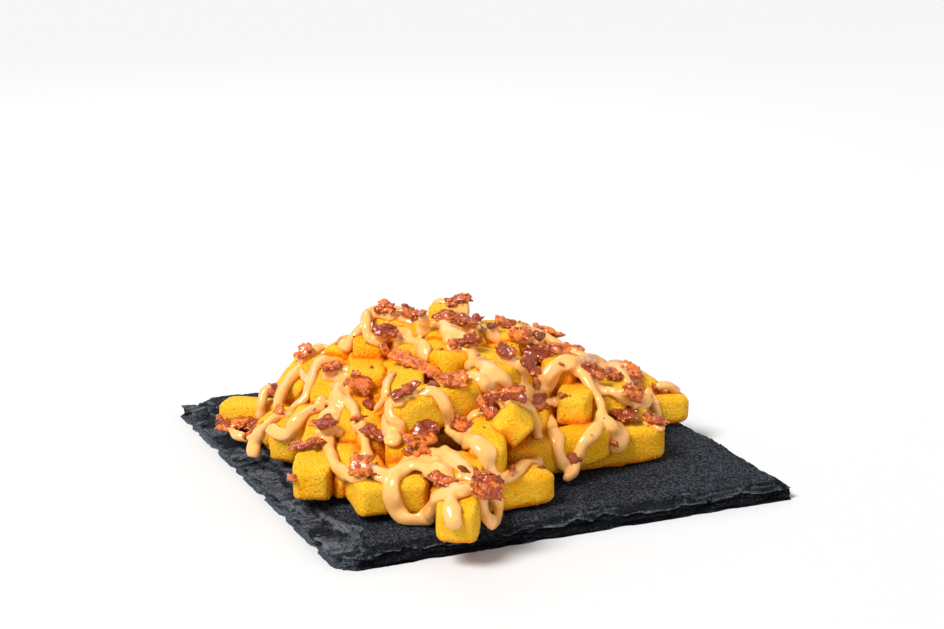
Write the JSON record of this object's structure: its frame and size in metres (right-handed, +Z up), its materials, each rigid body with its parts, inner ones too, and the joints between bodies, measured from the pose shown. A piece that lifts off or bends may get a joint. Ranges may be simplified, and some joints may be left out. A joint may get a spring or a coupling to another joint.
{
  "type": "loaded fries",
  "caption": "Heap of thick-cut fries with cream sauce and crisp bacon pieces, served on a square slate board with hand-dressed edges.",
  "frame": {"origin": "middle of the base of the whole, on the underside of the board", "axes": "+Z up; +Y towards the board's back edge; +X to the right as seen from the front edge"},
  "size_m": [0.1596, 0.1846, 0.0571],
  "materials": {
    "slate": "matt riven slate, paler where flakes have come off",
    "fried_potato": "fried, seasoned coating, with glossy cream sauce over it",
    "bacon": "crisp, greasy sheen"
  },
  "bodies": {
    "root": {"bacon_arch_red": "bacon", "bacon_arch_top_a": "bacon", "bacon_arch_top_b": "bacon", "bacon_back_stack": "bacon", "bacon_cap_slab": "bacon", "bacon_curl_left": "bacon", "bacon_drop_dark": "bacon", "bacon_edge_strip": "bacon", "bacon_end_brown": "bacon", "bacon_face_pink": "bacon", "bacon_far_0": "bacon", "bacon_far_1": "bacon", "bacon_far_2": "bacon", "bacon_far_3": "bacon", "bacon_far_4": "bacon", "bacon_far_5": "bacon", "bacon_far_pink": "bacon", "bacon_front_big": "bacon", "bacon_front_dark": "bacon", "bacon_front_rust": "bacon", "bacon_front_strip": "bacon", "bacon_knot_dark": "bacon", "bacon_long_dark": "bacon", "bacon_long_rust": "bacon", "bacon_long_strip": "bacon", "bacon_loop_chunk": "bacon", "bacon_middle_fall": "bacon", "bacon_middle_red": "bacon", "bacon_orange_flag": "bacon", "bacon_pale_slab": "bacon", "bacon_pink_thick": "bacon", "bacon_pocket_pink": "bacon", "bacon_post_strip": "bacon", "bacon_pour_cap": "bacon", "bacon_ridge_a": "bacon", "bacon_ridge_b": "bacon", "bacon_slate_strip": "bacon", "bacon_slope_a": "bacon", "bacon_slope_b": "bacon", "bacon_slope_dark": "bacon", "bacon_summit_red": "bacon", "bacon_summit_side": "bacon", "bacon_summit_top": "bacon", "bacon_wall_red": "bacon", "fries_heap": "fried_potato", "slate_board": "slate"}
  },
  "joints": []
}
